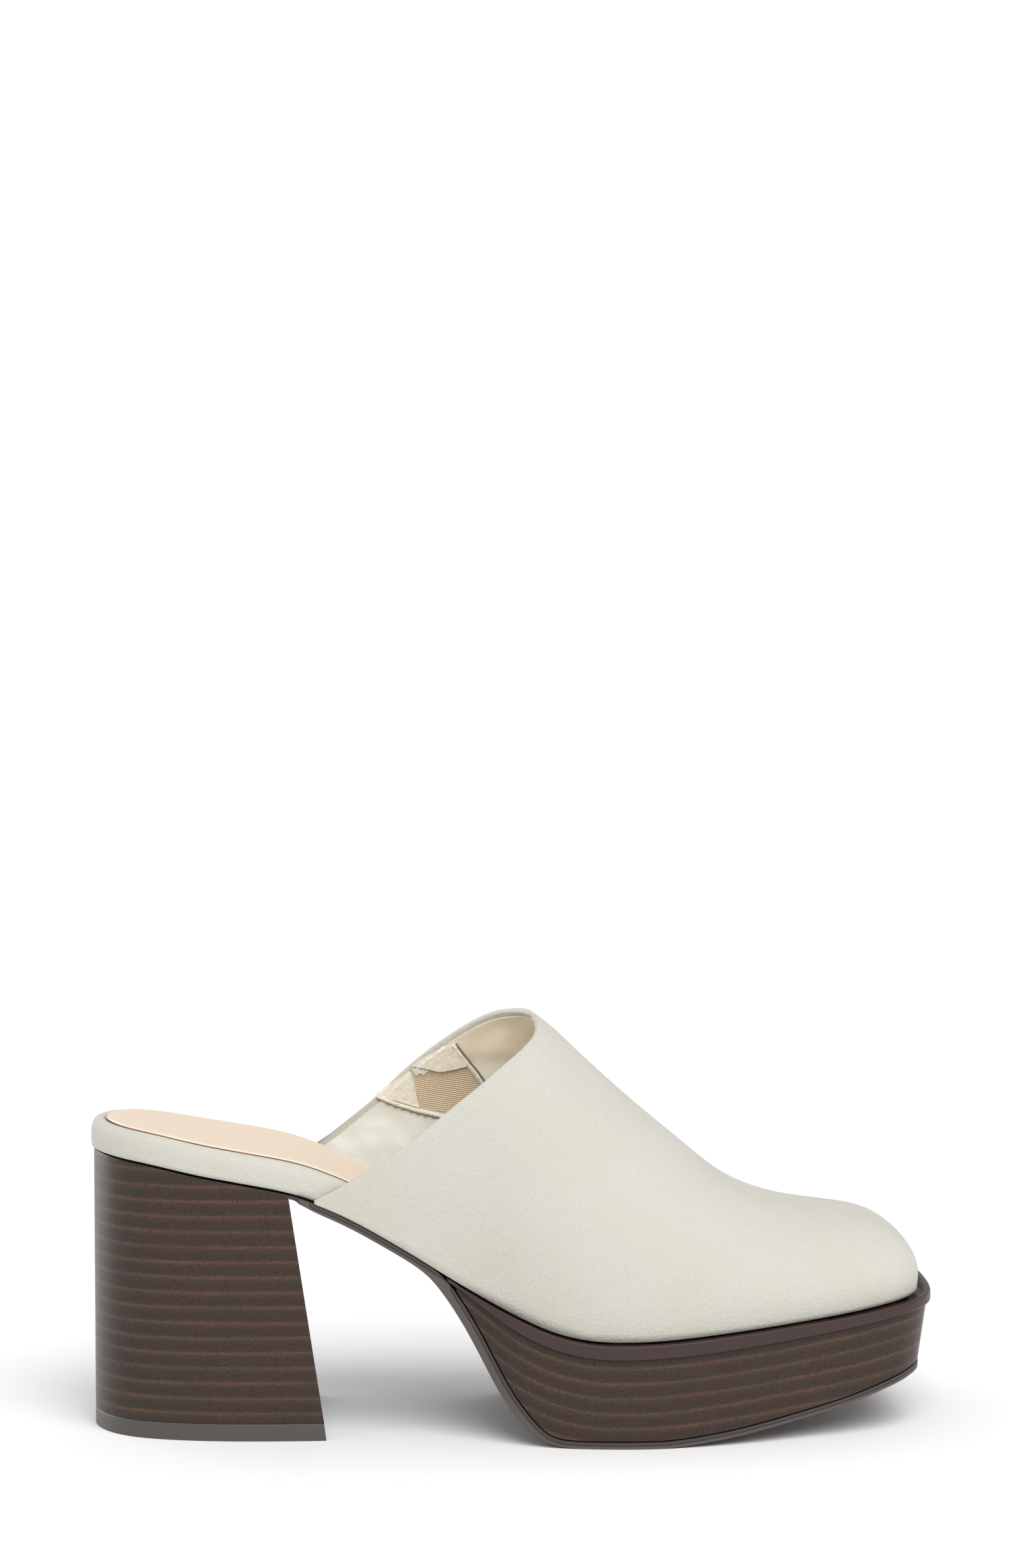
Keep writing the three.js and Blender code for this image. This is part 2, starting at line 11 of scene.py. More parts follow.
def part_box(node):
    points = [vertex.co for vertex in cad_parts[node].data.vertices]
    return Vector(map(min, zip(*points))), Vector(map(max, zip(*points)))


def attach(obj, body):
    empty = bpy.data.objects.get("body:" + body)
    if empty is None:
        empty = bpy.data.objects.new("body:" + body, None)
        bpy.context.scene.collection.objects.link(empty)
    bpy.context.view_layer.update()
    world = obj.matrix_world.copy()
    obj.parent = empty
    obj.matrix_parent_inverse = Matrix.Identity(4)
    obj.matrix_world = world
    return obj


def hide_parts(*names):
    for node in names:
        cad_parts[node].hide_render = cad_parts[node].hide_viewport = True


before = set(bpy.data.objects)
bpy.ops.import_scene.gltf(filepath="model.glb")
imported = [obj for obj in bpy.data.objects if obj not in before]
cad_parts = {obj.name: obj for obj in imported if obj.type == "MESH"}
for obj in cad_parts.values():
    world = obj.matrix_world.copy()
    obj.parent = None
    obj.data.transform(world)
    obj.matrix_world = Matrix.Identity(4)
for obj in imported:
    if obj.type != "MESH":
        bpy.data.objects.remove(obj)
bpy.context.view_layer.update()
MM = 0.001


# Camera, floor and light
# A long lens from a little above the outer side, over a white floor that runs off into white,
# with one large soft light overhead, an even fill and a strip behind the heel for its gloss.
CAMERA_TURN = math.radians(5)
CAMERA_DROP = math.radians(4.565)
CAMERA_PLACE = (-98.5 * MM, -1122.4 * MM, 274.4 * MM)
LENS = 90.1
FLOOR_SIZE = 60
FLOOR_WHITE = (0.95, 0.95, 0.95)
FILL_LIGHT = 0.6  # strength of the white all round, as light on the shoe
FILL_SEEN = 1.05  # the same where the camera looks straight at it
OVERHEAD_POWER = 2.15
OVERHEAD_SPREAD = math.radians(48)
OVERHEAD_TILT = (math.radians(36), math.radians(12), 0)
STRIP_POWER = 9
STRIP_WIDTH = 0.5
STRIP_HEIGHT = 0.9
STRIP_PLACE = (-0.75, 0.5, 0.3)
STRIP_AIM = (-0.1, 0, 0.05)  # the back of the heel

camera_data = bpy.data.cameras.new("camera")
camera_data.lens = LENS
camera = bpy.data.objects.new("camera", camera_data)
camera.location = CAMERA_PLACE
camera.rotation_euler = (math.pi / 2 - CAMERA_DROP, 0, -CAMERA_TURN)
bpy.context.collection.objects.link(camera)
bpy.context.scene.camera = camera
bpy.context.scene.view_settings.view_transform = "Standard"


def new_material(name, color, roughness, **sockets):
    """A material whose shader has these fixed values."""
    made = bpy.data.materials.new(name)
    made.use_nodes = True
    shader = made.node_tree.nodes["Principled BSDF"]
    shader.inputs["Base Color"].default_value = (*color, 1)
    shader.inputs["Roughness"].default_value = roughness
    for socket, value in sockets.items():
        shader.inputs[socket.replace("_", " ")].default_value = value
    return made


bpy.ops.mesh.primitive_plane_add(size=FLOOR_SIZE)
floor = bpy.context.active_object
floor.name = "floor"
floor.data.materials.append(new_material("floor_paint", FLOOR_WHITE, roughness=0.9))

world = bpy.data.worlds.new("studio")
world.use_nodes = True
bpy.context.scene.world = world
backdrop = world.node_tree.nodes["Background"]
backdrop.inputs["Color"].default_value = (1, 1, 1, 1)
sight = world.node_tree.nodes.new("ShaderNodeLightPath")
fill = world.node_tree.nodes.new("ShaderNodeMapRange")
fill.inputs["To Min"].default_value = FILL_LIGHT
fill.inputs["To Max"].default_value = FILL_SEEN
world.node_tree.links.new(sight.outputs["Is Camera Ray"], fill.inputs["Value"])
world.node_tree.links.new(fill.outputs["Result"], backdrop.inputs["Strength"])

overhead_data = bpy.data.lights.new("overhead", "SUN")
overhead_data.energy = OVERHEAD_POWER
overhead_data.angle = OVERHEAD_SPREAD
overhead = bpy.data.objects.new("overhead", overhead_data)
overhead.rotation_euler = OVERHEAD_TILT
bpy.context.collection.objects.link(overhead)

strip_data = bpy.data.lights.new("rear_strip", "AREA")
strip_data.energy = STRIP_POWER
strip_data.shape = "RECTANGLE"
strip_data.size, strip_data.size_y = STRIP_WIDTH, STRIP_HEIGHT
strip = bpy.data.objects.new("rear_strip", strip_data)
strip.location = STRIP_PLACE
strip.rotation_euler = (Vector(STRIP_AIM) - strip.location).to_track_quat("-Z", "Y").to_euler()
strip.visible_diffuse = False
bpy.context.collection.objects.link(strip)


# Heel block and platform
# Light moulded plastic in a stacked-wood look: dark brown bands with thin lighter lines, all
# level on the block and following the rim on the platform. Both are satin and finely speckled.
STACK_PITCH = 4.35 * MM
LOWEST_LINE = 7.75 * MM  # a line's middle on the heel block, above the floor
FIRST_LINE = 2.4 * MM  # the same on the platform, below its top
BAND_START = 0.19  # where the first band begins, in pitches
LINE_WANDER = 0.22  # how far a line wanders, in pitches
LINE_LIGHT = ((0.0, 0.0), (0.14, 0.15), (0.23, 1.0), (0.32, 0.85), (0.45, 0.25), (0.72, 0.0), (1.0, 0.0))
WANDER_GRAIN = (24, 24, 140)  # long along the bands and short across them
STREAK_GRAIN = (40, 40, 260)
STREAK_WEAK = 0.62
STREAK_STRONG = 1.1
WOOD_DARK = (0.035, 0.0225, 0.0175)
WOOD_LINE = (0.085, 0.045, 0.029)
WOOD_SPECKLE = 1900
HEEL_EDGE = 0.4 * MM
PLATFORM_EDGE = 0.3 * MM
WELD = 0.01 * MM
PAIRED = math.radians(60)  # two triangles that differ by less become one quad
HARD_EDGE = math.radians(40)
SOFT_CORNER = math.radians(24)
RAY_INSET = 0.93  # keeps a ray from a side face on the platform's top
CEMENT = 0.28 * MM  # what closes the gap between two solids
MIX_A, MIX_B, MIX_RESULT = 6, 7, 2  # the colour sockets of a Mix node


def copy_node(name, piece_name):
    """A copy of a solid as one welded mesh of quads, for a piece that is to stand for it."""
    bpy.ops.object.select_all(action="DESELECT")
    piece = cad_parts[name].copy()
    piece.data = piece.data.copy()
    piece.name = piece_name
    piece.data.name = piece_name
    piece.parent = None
    for key in list(piece.keys()):
        del piece[key]
    bpy.context.collection.objects.link(piece)
    piece.select_set(True)
    bpy.context.view_layer.objects.active = piece
    bpy.ops.object.mode_set(mode="EDIT")
    bpy.ops.mesh.select_all(action="SELECT")
    bpy.ops.mesh.remove_doubles(threshold=WELD)
    bpy.ops.mesh.tris_convert_to_quads(face_threshold=PAIRED, shape_threshold=PAIRED)
    bpy.ops.object.mode_set(mode="OBJECT")
    piece.data.materials.clear()
    return piece


def apply_modifier(piece, kind, **settings):
    bpy.context.view_layer.objects.active = piece
    modifier = piece.modifiers.new(kind.lower(), kind)
    for name, value in settings.items():
        setattr(modifier, name, value)
    bpy.ops.object.modifier_apply(modifier=modifier.name)


def smooth_shading(piece, angle=None):
    bpy.ops.object.select_all(action="DESELECT")
    piece.select_set(True)
    bpy.context.view_layer.objects.active = piece
    if angle is None:
        bpy.ops.object.shade_smooth()
    else:
        bpy.ops.object.shade_smooth_by_angle(angle=angle)


def softened(node_name, piece_name, edge, levels=2, crease=0.0):
    """A copy of a solid with its hard edges rounded to a radius or creased, and its outline made smooth."""
    piece = copy_node(node_name, piece_name)
    if crease:
        mesh = bmesh.new()
        mesh.from_mesh(piece.data)
        layer = mesh.edges.layers.float.new("crease_edge")
        for edge_line in mesh.edges:
            if edge_line.calc_face_angle(0) > SOFT_CORNER:
                edge_line[layer] = crease
        mesh.to_mesh(piece.data)
        mesh.free()
    if edge:
        apply_modifier(piece, "BEVEL", width=edge, segments=2, limit_method="ANGLE", angle_limit=HARD_EDGE)
    apply_modifier(piece, "SUBSURF", levels=levels, render_levels=levels)
    smooth_shading(piece)
    return piece


def stand_for(piece, node_name):
    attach(piece, "root")
    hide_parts(node_name)


def surface_of(node_name):
    """A solid's surface, for rays and for the nearest place on it."""
    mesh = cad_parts[node_name].data
    return BVHTree.FromPolygons([v.co for v in mesh.vertices], [p.vertices for p in mesh.polygons])


def facing(piece, side, least):
    """The vertices whose normals point up, or down with a side of -1, by at least so much."""
    chosen = [v.index for v in piece.data.vertices if v.normal.z * side > least]
    return [piece.data.vertices[i] for i in chosen]


def store(piece, name, values):
    attribute = piece.data.attributes.new(name, "FLOAT", "POINT")
    attribute.data.foreach_set("value", values)


def node(made, kind, inputs=None, **settings):
    """Adds one node. An input is a number, a colour or another node's output."""
    added = made.node_tree.nodes.new("ShaderNode" + kind)
    for name, value in settings.items():
        setattr(added, name, value)
    for socket, value in (inputs or {}).items():
        if isinstance(value, bpy.types.NodeSocket):
            made.node_tree.links.new(value, added.inputs[socket])
        elif isinstance(value, tuple) and added.inputs[socket].type == "RGBA":
            added.inputs[socket].default_value = (*value, 1)
        else:
            added.inputs[socket].default_value = value
    return added


def mixed(made, factor, first, second, blend="MIX"):
    """The colour between two, or the first times the second with blend MULTIPLY."""
    inputs = {0: factor, MIX_A: first, MIX_B: second}
    return node(made, "Mix", inputs, data_type="RGBA", blend_type=blend).outputs[MIX_RESULT]


def to_shader(made, socket, output):
    made.node_tree.links.new(output, made.node_tree.nodes["Principled BSDF"].inputs[socket])


def shaded(made, color, shade):
    """Gives the material a colour that is darker or lighter from place to place."""
    to_shader(made, "Base Color", mixed(made, 1, color, shade, "MULTIPLY"))


def roughened(made, height, strength, depth):
    bump = node(made, "Bump", {"Strength": strength, "Distance": depth, "Height": height})
    to_shader(made, "Normal", bump.outputs["Normal"])


def speckle(made, scale, low=0, high=1):
    """Fine grain between two strengths, in the piece's own space."""
    place = node(made, "TexCoord").outputs["Object"]
    grain = node(made, "TexNoise", {"Vector": place, "Scale": scale, "Detail": 3, "Roughness": 0.7})
    span = {"Value": grain.outputs["Fac"], "From Min": 0.3, "From Max": 0.7, "To Min": low, "To Max": high}
    return node(made, "MapRange", span).outputs["Result"]


def fill_ramp(ramp, stops):
    """Sets the places and colours of a new ramp, from 0 to 1."""
    for spot, color in stops:
        if spot in (0, 1):
            stop = ramp.elements[0 if spot == 0 else -1]
        else:
            stop = ramp.elements.new(spot)
        stop.color = (*color, 1)


def stacked_wood():
    made = new_material("stacked_wood", WOOD_DARK, roughness=0.36, Specular_IOR_Level=0.29)
    place = node(made, "TexCoord").outputs["Object"]
    stretched = node(made, "Mapping", {"Vector": place, "Scale": WANDER_GRAIN})
    wander = node(made, "TexNoise", {"Vector": stretched.outputs["Vector"], "Scale": 1.0, "Detail": 4})
    depth = node(made, "Attribute", attribute_name="stack").outputs["Fac"]
    turns = node(made, "Math", {0: depth, 1: 1 / STACK_PITCH, 2: BAND_START}, operation="MULTIPLY_ADD")
    shifted = node(made, "Math", {0: wander.outputs["Fac"], 1: LINE_WANDER, 2: turns.outputs[0]},
                   operation="MULTIPLY_ADD")
    share = node(made, "Math", {0: shifted.outputs[0]}, operation="FRACT")
    band = node(made, "ValToRGB", {"Fac": share.outputs[0]})
    fill_ramp(band.color_ramp, [(spot, (light,) * 3) for spot, light in LINE_LIGHT])
    streaked = node(made, "Mapping", {"Vector": place, "Scale": STREAK_GRAIN})
    streak = node(made, "TexNoise", {"Vector": streaked.outputs["Vector"], "Scale": 1.0, "Detail": 5})
    strength = node(made, "MapRange", {"Value": streak.outputs["Fac"], "From Min": 0.3, "From Max": 0.7,
                                       "To Min": STREAK_WEAK, "To Max": STREAK_STRONG})
    line = node(made, "Math", {0: band.outputs["Color"], 1: strength.outputs["Result"]},
                operation="MULTIPLY")
    color = mixed(made, line.outputs[0], WOOD_DARK, WOOD_LINE)
    shaded(made, color, speckle(made, WOOD_SPECKLE, low=0.62, high=1.5))
    roughened(made, speckle(made, WOOD_SPECKLE), strength=0.3, depth=0.05 * MM)
    return made


STACKED_WOOD = stacked_wood()

heel = softened("heel_block", "stacked_heel", HEEL_EDGE)
store(heel, "stack", [LOWEST_LINE - v.co.z for v in heel.data.vertices])
heel.data.materials.append(STACKED_WOOD)
stand_for(heel, "heel_block")

platform = softened("platform", "stacked_platform", PLATFORM_EDGE, levels=3)
top = surface_of("platform")
depths = []
for vertex in platform.data.vertices:
    above = Vector((vertex.co.x, vertex.co.y * RAY_INSET, 1))
    hit = top.ray_cast(above, Vector((0, 0, -1)))[0]
    depths.append(hit.z - vertex.co.z - FIRST_LINE if hit else 0)
store(platform, "stack", depths)
for vertex in facing(platform, 1, least=0.6):
    vertex.co.z += CEMENT
platform.data.materials.append(STACKED_WOOD)
stand_for(platform, "platform")


# Rim of the platform
# A smooth plum-brown plastic edge round the platform's top, widest at the forefoot, with a crisp
# upper corner. A channel follows the upper's foot and deepens behind a raised lip at the toe.
PLUM = (0.047, 0.027, 0.025)
RIM_CREASE = 0.7
GROOVE = 0.35 * MM  # depth of the channel along the upper's foot
GROOVE_TOE = 1.3 * MM  # the same in front of the toe, behind the lip
GROOVE_REACH = 2.6 * MM
GROOVE_STEEPNESS = 1.6  # more than one leaves the channel a flat floor
LIP_FROM = 80 * MM
LIP_TO = 112 * MM

rim = softened("platform_rim", "rim", edge=0, levels=3, crease=RIM_CREASE)
wall = surface_of("upper")
for vertex in facing(rim, 1, least=0.4):
    near = max(0, 1 - wall.find_nearest(vertex.co)[3] / GROOVE_REACH)
    toe = min(1, max(0, (vertex.co.x - LIP_FROM) / (LIP_TO - LIP_FROM)))
    vertex.co.z -= (GROOVE + (GROOVE_TOE - GROOVE) * toe) * min(1, GROOVE_STEEPNESS * near)
plum_plastic = new_material("plum_plastic", PLUM, roughness=0.36, Specular_IOR_Level=0.36)
roughened(plum_plastic, speckle(plum_plastic, 900), strength=0.15, depth=0.05 * MM)
rim.data.materials.append(plum_plastic)
stand_for(rim, "platform_rim")


# Outsole and heel top piece
# Matt grey-brown rubber: a sheet along the shank, down the back of the platform and under the
# forefoot, whose edge shows a painted shade line in the join, a rib, a painted shade line at the
# rib's step and a paler strip, and a lift under the heel.
# The darkest rubber colour is painted shade, for the join against what carries the sheet and for the step
# behind the rib.
RUBBER_PAINTED_SHADE = (0.016, 0.012, 0.011)
RUBBER_RIB = (0.055, 0.042, 0.037)
RUBBER_STRIP = (0.09, 0.073, 0.064)
# The dark stops at the start and between the rib and the strip are painted shade; the rib and the strip are
# the rubber's own colours.
SHEET_LAYERS_AND_SHADE = ((0.0, RUBBER_PAINTED_SHADE), (0.1, RUBBER_PAINTED_SHADE), (0.13, RUBBER_RIB), (0.27, RUBBER_RIB),
                (0.3, RUBBER_PAINTED_SHADE), (0.35, RUBBER_PAINTED_SHADE), (0.38, RUBBER_STRIP), (1.0, RUBBER_STRIP))
LAYERS_DEPTH = 4  # millimetres from what carries the sheet to the last of its layers
LIFT_GREY = (0.076, 0.066, 0.061)
SHEET_EDGE = 0.35 * MM
LIFT_EDGE = 0.4 * MM
SHEET_END = 1 * MM  # how much of the sheet's rear end is drawn back to the heel
END_DRAWN = 0.5 * MM
SHEET_CEMENT = 0.8 * CEMENT
TUCKED_IN = 0.5 * MM  # how far the sheet lies in from the footbed's edge behind the upper's tail
TUCKED_PAST = 1 * MM  # how far past that tail it still does


def rubber(name, color):
    made = new_material(name, color, roughness=0.5)
    roughened(made, speckle(made, 1500), strength=0.3, depth=0.08 * MM)
    return made


def layered_rubber():
    """The sheet's rubber, whose colour and painted shade lines follow the distance from what carries it."""
    made = rubber("sole_rubber", RUBBER_STRIP)
    depth = node(made, "Attribute", attribute_name="depth").outputs["Fac"]
    share = node(made, "Math", {0: depth, 1: 1 / LAYERS_DEPTH}, operation="MULTIPLY")
    layers = node(made, "ValToRGB", {"Fac": share.outputs[0]})
    fill_ramp(layers.color_ramp, SHEET_LAYERS_AND_SHADE)
    to_shader(made, "Base Color", layers.outputs["Color"])
    return made


outsole = softened("outsole", "outsole_sheet", SHEET_EDGE)
sheet_start = min(v.co.x for v in outsole.data.vertices)
for vertex in outsole.data.vertices:
    if vertex.co.x < sheet_start + SHEET_END:
        vertex.co.x -= END_DRAWN
platform_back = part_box("platform")[0][0]
for vertex in facing(outsole, 1, least=0.5):
    if vertex.co.x < platform_back:
        vertex.co.z += SHEET_CEMENT
footbed_surface = surface_of("footbed")
tucked_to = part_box("upper")[0][0] + TUCKED_PAST
for vertex in outsole.data.vertices:
    if vertex.co.x < tucked_to:
        beside = footbed_surface.find_nearest(vertex.co)[0]
        inset = beside.y - math.copysign(TUCKED_IN, beside.y)
        if abs(vertex.co.y) > abs(inset):
            vertex.co.y = inset
carriers = [surface_of("platform"), surface_of("upper"), footbed_surface]
away = [min(c.find_nearest(v.co)[3] for c in carriers) for v in outsole.data.vertices]
store(outsole, "depth", [distance / MM for distance in away])
outsole.data.materials.append(layered_rubber())
stand_for(outsole, "outsole")

heel_lift = softened("heel_top_piece", "heel_lift", LIFT_EDGE)
for vertex in facing(heel_lift, 1, least=0.5):
    vertex.co.z += CEMENT
heel_lift.data.materials.append(rubber("lift_rubber", LIFT_GREY))
stand_for(heel_lift, "heel_top_piece")


# Footbed and sock
# A board and foam wrapped in the upper's own faux nubuck, rounded over its edge, with a thin
# smooth beige sock glued into it. The sock's cut edge is dark brown, partly glue and partly
# painted shade in the gap round it.
NUBUCK = (0.575, 0.564, 0.506)
NUBUCK_WARM = (0.563, 0.545, 0.469)
SOCK_BEIGE = (0.8, 0.66, 0.52)
# The cut edge's dark brown is partly glue and partly painted shade in the gap round the sock.
SOCK_GLUE_AND_SHADE = (0.19, 0.09, 0.055)
SOCK_EDGE = 0.25 * MM
SOCK_TOP = 0.35  # a face that points up by less than this belongs to the cut edge


def nubuck():
    made = new_material("faux_nubuck", NUBUCK, roughness=0.82, Sheen_Weight=0.12, Sheen_Roughness=0.5)
    place = node(made, "TexCoord").outputs["Object"]
    patches = node(made, "TexNoise", {"Vector": place, "Scale": 38, "Detail": 3, "Roughness": 0.6})
    span = node(made, "MapRange", {"Value": patches.outputs["Fac"], "From Min": 0.35, "From Max": 0.7})
    color = mixed(made, span.outputs["Result"], NUBUCK, NUBUCK_WARM)
    shaded(made, color, speckle(made, 1400, low=0.95, high=1.035))
    pebbles = node(made, "TexNoise", {"Vector": place, "Scale": 1150, "Detail": 3, "Roughness": 0.6})
    roughened(made, pebbles.outputs["Fac"], strength=0.7, depth=0.36 * MM)
    return made


FAUX_NUBUCK = nubuck()

footbed = softened("footbed", "wrapped_footbed", edge=0)
heel_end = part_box("heel_block")[1][0]
for vertex in facing(footbed, -1, least=0.3):
    if vertex.co.x < heel_end:
        vertex.co.z -= CEMENT
footbed.data.materials.append(FAUX_NUBUCK)
stand_for(footbed, "footbed")

sock = softened("insole_sock", "beige_sock", SOCK_EDGE)
sock_leather = new_material("sock_leather", SOCK_BEIGE, roughness=0.5)
roughened(sock_leather, speckle(sock_leather, 700), strength=0.2, depth=0.05 * MM)
sock.data.materials.append(sock_leather)
# The sides get the dark edge colour: glue and painted shade.
sock.data.materials.append(new_material("cut_edge", SOCK_GLUE_AND_SHADE, roughness=0.7))
for polygon in sock.data.polygons:
    polygon.material_index = 1 if polygon.normal.z < SOCK_TOP else 0
stand_for(sock, "insole_sock")


# Upper
# One wall of faux nubuck over the last, folded over at the collar. Inside it is lined with a
# pale woven lining that starts a little below the fold, with painted warm shading towards its top.
TURNED_EDGE = 1.9 * MM
LINING = 0.35 * MM
WALL_CORNER = math.radians(60)
COLLAR_ABOVE = 1 * MM  # a hard edge is the collar's if it lies this far above the footbed
COLLAR_STEPS = 8  # points on each edge of the collar, for distances from it
TAIL_SKIVED = 0.6 * MM  # how much thinner the wall is where its tail ends at the waist
TAIL_LENGTH = 30 * MM
TAIL_FACING = -0.3  # takes the wall's lower edge along with its outside
FOOT_CREASE = 0.85  # keeps the lower edge close to the rim while the rest is rounded
EVENED = 30  # rounds of smoothing along the lining's edge
THIN_EDGE = math.radians(50)
LINING_PALE = (0.87, 0.88, 0.81)
# Towards the collar the lining turns warmer with height: painted warm shading.
LINING_WARM_SHADE = (0.95, 0.85, 0.66)
WARM_SHADE_FROM = 92 * MM  # height where the lining begins to look warmer
WARM_SHADE_TO = 104 * MM
WEAVE_TURN = math.radians(35)
WEAVE = {"Scale": 620, "Distortion": 0.6, "Detail": 1}


def regions_between(mesh, sharp):
    """The faces that hard edges part from each other, as lists, with the largest first."""
    regions = []
    left = set(mesh.faces)
    while left:
        region, queue = [], [left.pop()]
        while queue:
            face = queue.pop()
            region.append(face)
            for edge in set(face.edges) - sharp:
                for other in edge.link_faces:
                    if other in left:
                        left.discard(other)
                        queue.append(other)
        regions.append(region)
    return sorted(regions, key=lambda faces: -sum(f.calc_area() for f in faces))


upper = copy_node("upper", "upper_shell")
mesh = bmesh.new()
mesh.from_mesh(upper.data)
crease = mesh.edges.layers.float.new("crease_edge")
sharp = {e for e in mesh.edges if e.calc_face_angle(0) > WALL_CORNER}
for face in regions_between(mesh, sharp)[1]:  # the largest is the outside, the next the inside
    face.material_index = 1
collar_points = []
for edge in sharp:
    ends = [v.co.copy() for v in edge.verts]
    seats = [footbed_surface.ray_cast(Vector((p.x, 0, -1)), Vector((0, 0, 1)))[0] for p in ends]
    if all(s and p.z > s.z + COLLAR_ABOVE for p, s in zip(ends, seats)):
        collar_points += [ends[0].lerp(ends[1], i / COLLAR_STEPS) for i in range(COLLAR_STEPS + 1)]
    else:
        edge[crease] = FOOT_CREASE
mesh.to_mesh(upper.data)
mesh.free()
collar = kdtree.KDTree(len(collar_points))
for i, point in enumerate(collar_points):
    collar.insert(point, i)
collar.balance()
apply_modifier(upper, "SUBSURF", levels=2, render_levels=2)
smooth_shading(upper)
for side in (-1, 1):
    outer = [v.index for v in upper.data.vertices
             if v.co.y * side > 0 and v.normal.y * side > TAIL_FACING]
    outer = [upper.data.vertices[i] for i in outer]
    tail = min(v.co.x for v in outer)
    for vertex in outer:
        vertex.co.y -= side * TAIL_SKIVED * max(0, 1 - (vertex.co.x - tail) / TAIL_LENGTH)

lining = upper.copy()
lining.data = upper.data.copy()
lining.name = "lining"
lining.data.name = "lining"
bpy.context.collection.objects.link(lining)
mesh = bmesh.new()
mesh.from_mesh(lining.data)
bare = [f for f in mesh.faces
        if f.material_index != 1 or collar.find(f.calc_center_median())[2] <= TURNED_EDGE]
bmesh.ops.delete(mesh, geom=bare, context="FACES")
for face in mesh.faces:
    face.material_index = 0
folded = BVHTree.FromObject(upper, bpy.context.evaluated_depsgraph_get())
edge_vertices = {v for e in mesh.edges if e.is_boundary for v in e.verts}
for _ in range(EVENED):
    places = {}
    for vertex in edge_vertices:
        beside = [e.other_vert(vertex).co for e in vertex.link_edges if e.is_boundary]
        places[vertex] = folded.find_nearest((vertex.co + sum(beside, Vector()) / len(beside)) / 2)[0]
    for vertex, place in places.items():
        vertex.co = place
mesh.to_mesh(lining.data)
mesh.free()
apply_modifier(lining, "SOLIDIFY", thickness=LINING, offset=1)
smooth_shading(lining, THIN_EDGE)


def woven_lining():
    made = new_material("woven_lining", LINING_PALE, roughness=0.9)
    place = node(made, "TexCoord").outputs["Object"]
    height = node(made, "SeparateXYZ", {"Vector": place}).outputs["Z"]
    # Painted warm shading that rises with height.
    warm_shade = node(made, "MapRange", {"Value": height, "From Min": WARM_SHADE_FROM, "From Max": WARM_SHADE_TO})
    tint = mixed(made, warm_shade.outputs["Result"], LINING_PALE, LINING_WARM_SHADE)
    turned = node(made, "Mapping", {"Vector": place, "Rotation": (0, WEAVE_TURN, 0)}).outputs["Vector"]
    warp = node(made, "TexWave", {"Vector": turned, **WEAVE}, bands_direction="X")
    weft = node(made, "TexWave", {"Vector": turned, **WEAVE}, bands_direction="Z")
    cloth = node(made, "Math", {0: warp.outputs["Fac"], 1: weft.outputs["Fac"]}, operation="MULTIPLY")
    shade = node(made, "MapRange", {"Value": cloth.outputs[0], "To Min": 0.94, "To Max": 1.03})
    shaded(made, tint, shade.outputs["Result"])
    folds = node(made, "TexNoise", {"Vector": place, "Scale": 75, "Detail": 1})
    soft = node(made, "Bump", {"Strength": 0.8, "Distance": 5 * MM, "Height": folds.outputs["Fac"]})
    bump = node(made, "Bump", {"Strength": 0.5, "Distance": 0.1 * MM, "Height": cloth.outputs[0],
                               "Normal": soft.outputs["Normal"]})
    to_shader(made, "Normal", bump.outputs["Normal"])
    return made


lining.data.materials.append(woven_lining())
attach(lining, "root")
for polygon in upper.data.polygons:
    polygon.material_index = 0
upper.data.materials.append(FAUX_NUBUCK)
stand_for(upper, "upper")


# Elastic insert inside the inner side
# A tan ribbed elastic between two raised seams, under a suede flap folded in from the collar,
# with a suede patch behind it. They are glued and stitched flat on the lining. Points are
# millimetres forward and up, from the rear to the front.
GORE_LOW = ((-25.4, 87.4), (-17, 85.4), (-8, 83.6), (0, 82.4))
GORE_HIGH = ((-27.2, 97.6), (-20, 99.4), (-14, 99.8), (-10.5, 99.2))
FLAP_LOW = ((-27.4, 99.4), (-23.8, 98.9), (-19.7, 97.9), (-15, 98.8), (-11.6, 99.8))
FLAP_HIGH = ((-27.6, 99.9), (-24.6, 102.2), (-21.4, 104.2), (-18.4, 105.8), (-15.8, 106.8))
PATCH_LOW = ((-37.8, 90.2), (-31.4, 88.8), (-25.3, 87))
PATCH_HIGH = ((-38.1, 90.7), (-33.5, 94.3), (-28.2, 98.2))
FRAY_LOW = ((-27.6, 98.2), (-26.5, 96.8), (-25.4, 97.6), (-24.4, 97), (-22.8, 98.4))
FRAY_HIGH = ((-27.8, 99.6), (-26.4, 99.7), (-25, 99.6), (-23.8, 99.5), (-22.4, 99.3))
FRONT_SEAM = ((-16, 106.3), (-13, 102.2), (-9.3, 97.6), (-6.3, 93.2), (-3, 88.4), (0.3, 83.4))
LOWER_SEAM = ((-37.9, 90.2), (-32.5, 88.1), (-26.3, 86.2), (-21.6, 85.1), (-17.2, 84.1), (-8, 82.4),
              (0, 81))
KNOT = ((-16, 106.3), (-15.2, 105.4))
SHEET_COLUMNS = 36
SHEET_ROWS = 24
FLAP_POINTS = 14
SEAM_POINTS = 24
STITCHED_POINTS = 61  # close enough together to start and end a stitch
FRONT_LINE = (0.9 * MM, 0.35 * MM)  # from the piping to the dark line beside it
LOWER_LINE = 0.75 * MM  # the same, down from the lower ridge
STITCH = 1.5 * MM
STITCH_PITCH = 2.3 * MM
STITCHES = 17
GORE_RIB = 0.62 * MM
GORE_RUNG = 2 * GORE_RIB
GORE_TURN = math.radians(-9)
WAVE_TURN = math.pi / 10  # a Wave texture's length at a scale of one
ELASTIC_TAN = (0.82, 0.68, 0.49)
